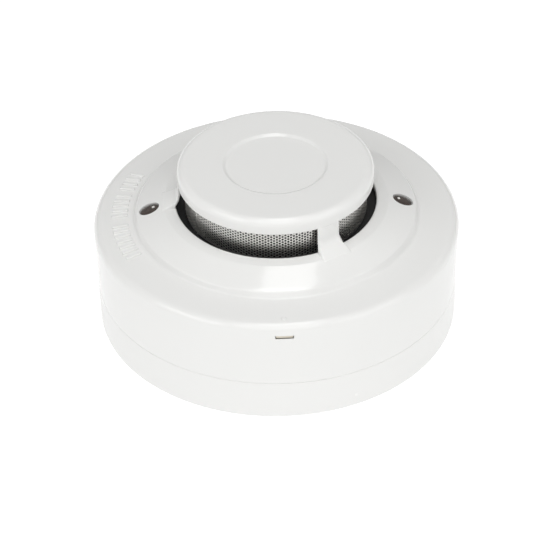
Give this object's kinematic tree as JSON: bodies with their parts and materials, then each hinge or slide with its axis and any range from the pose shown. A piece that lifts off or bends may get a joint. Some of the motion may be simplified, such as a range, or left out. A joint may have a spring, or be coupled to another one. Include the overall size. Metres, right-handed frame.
{
  "type": "heat detector",
  "caption": "Round ceiling fire detector: twist-lock base with terminals, sensor head with a screened chamber and heat sensor, and a white cover whose ribs carry a round cap over an air slot.",
  "frame": {"origin": "centre of the base's back face, the face that lies on the ceiling", "axes": "+Z points from the back face to the cap (down into the room when installed), -Y is the front with the alignment mark"},
  "size_m": [0.1, 0.1, 0.0476],
  "materials": {
    "cover_plastic": "smooth moulded white plastic, soft gloss",
    "base_plastic": "smooth moulded white plastic, soft gloss",
    "chassis_plastic": "natural ivory plastic, fine texture",
    "chamber_plastic": "light-absorbing black plastic",
    "screen_metal": "thin perforated metal, satin",
    "lens_plastic": "dark smoked clear plastic",
    "board": "green solder mask",
    "component_black": "black epoxy",
    "dark_epoxy": "dark tinted epoxy",
    "led_epoxy": "red tinted epoxy",
    "relay_case": "blue plastic case",
    "capacitor_sleeve": "dark shrink sleeve",
    "brass": "plain stamped brass",
    "steel": "zinc-plated steel"
  },
  "bodies": {
    "base": {"mounting_base": "base_plastic", "base_contact_1": "brass", "base_contact_2": "brass", "base_contact_3": "brass", "base_contact_4": "brass"},
    "head": {"head_chassis": "chassis_plastic", "contact_blade_1": "brass", "contact_blade_2": "brass", "contact_blade_3": "brass", "contact_blade_4": "brass", "circuit_board": "board", "board_screw_1": "steel", "board_screw_2": "steel", "board_screw_3": "steel", "chamber_base": "chamber_plastic", "labyrinth": "chamber_plastic", "chamber_lid": "chamber_plastic", "insect_screen": "screen_metal", "infrared_emitter": "dark_epoxy", "photodiode": "dark_epoxy", "optics_shield": "chamber_plastic", "thermistor": "dark_epoxy", "status_led_left": "led_epoxy", "status_led_right": "led_epoxy", "relay": "relay_case", "microcontroller": "component_black", "rectifier": "component_black", "capacitor": "capacitor_sleeve"},
    "cover": {"head_cover": "cover_plastic", "indicator_lens_left": "lens_plastic", "indicator_lens_right": "lens_plastic"},
    "clamp_1": {"terminal_washer_1": "steel"},
    "screw_1": {"terminal_screw_1": "steel"},
    "clamp_2": {"terminal_washer_2": "steel"},
    "screw_2": {"terminal_screw_2": "steel"},
    "clamp_3": {"terminal_washer_3": "steel"},
    "screw_3": {"terminal_screw_3": "steel"},
    "clamp_4": {"terminal_washer_4": "steel"},
    "screw_4": {"terminal_screw_4": "steel"}
  },
  "joints": [
    {"name": "head_twist", "type": "hinge", "parent": "base", "child": "head", "pos_m": [0, 0, 0.0117], "axis": [0, 0, 1], "range_deg": [0, 20]},
    {"name": "cover_lift", "type": "slide", "parent": "head", "child": "cover", "axis": [0, 0, 1], "range_m": [0, 0.045]},
    {"name": "clamp_rise_1", "type": "slide", "parent": "base", "child": "clamp_1", "axis": [0, 0, 1], "range_m": [0, 0.0015]},
    {"name": "screw_turn_1", "type": "hinge", "parent": "clamp_1", "child": "screw_1", "pos_m": [0.02051, -0.02051, 0.008], "axis": [0, 0, 1], "range_deg": [0, 1080]},
    {"name": "clamp_rise_2", "type": "slide", "parent": "base", "child": "clamp_2", "axis": [0, 0, 1], "range_m": [0, 0.0015]},
    {"name": "screw_turn_2", "type": "hinge", "parent": "clamp_2", "child": "screw_2", "pos_m": [0.02051, 0.02051, 0.008], "axis": [0, 0, 1], "range_deg": [0, 1080]},
    {"name": "clamp_rise_3", "type": "slide", "parent": "base", "child": "clamp_3", "axis": [0, 0, 1], "range_m": [0, 0.0015]},
    {"name": "screw_turn_3", "type": "hinge", "parent": "clamp_3", "child": "screw_3", "pos_m": [-0.02051, 0.02051, 0.008], "axis": [0, 0, 1], "range_deg": [0, 1080]},
    {"name": "clamp_rise_4", "type": "slide", "parent": "base", "child": "clamp_4", "axis": [0, 0, 1], "range_m": [0, 0.0015]},
    {"name": "screw_turn_4", "type": "hinge", "parent": "clamp_4", "child": "screw_4", "pos_m": [-0.02051, -0.02051, 0.008], "axis": [0, 0, 1], "range_deg": [0, 1080]}
  ],
  "couplings": [
    {"joint": "screw_turn_1", "follows": "clamp_rise_1", "rad_per_m": 12566},
    {"joint": "screw_turn_2", "follows": "clamp_rise_2", "rad_per_m": 12566},
    {"joint": "screw_turn_3", "follows": "clamp_rise_3", "rad_per_m": 12566},
    {"joint": "screw_turn_4", "follows": "clamp_rise_4", "rad_per_m": 12566}
  ]
}
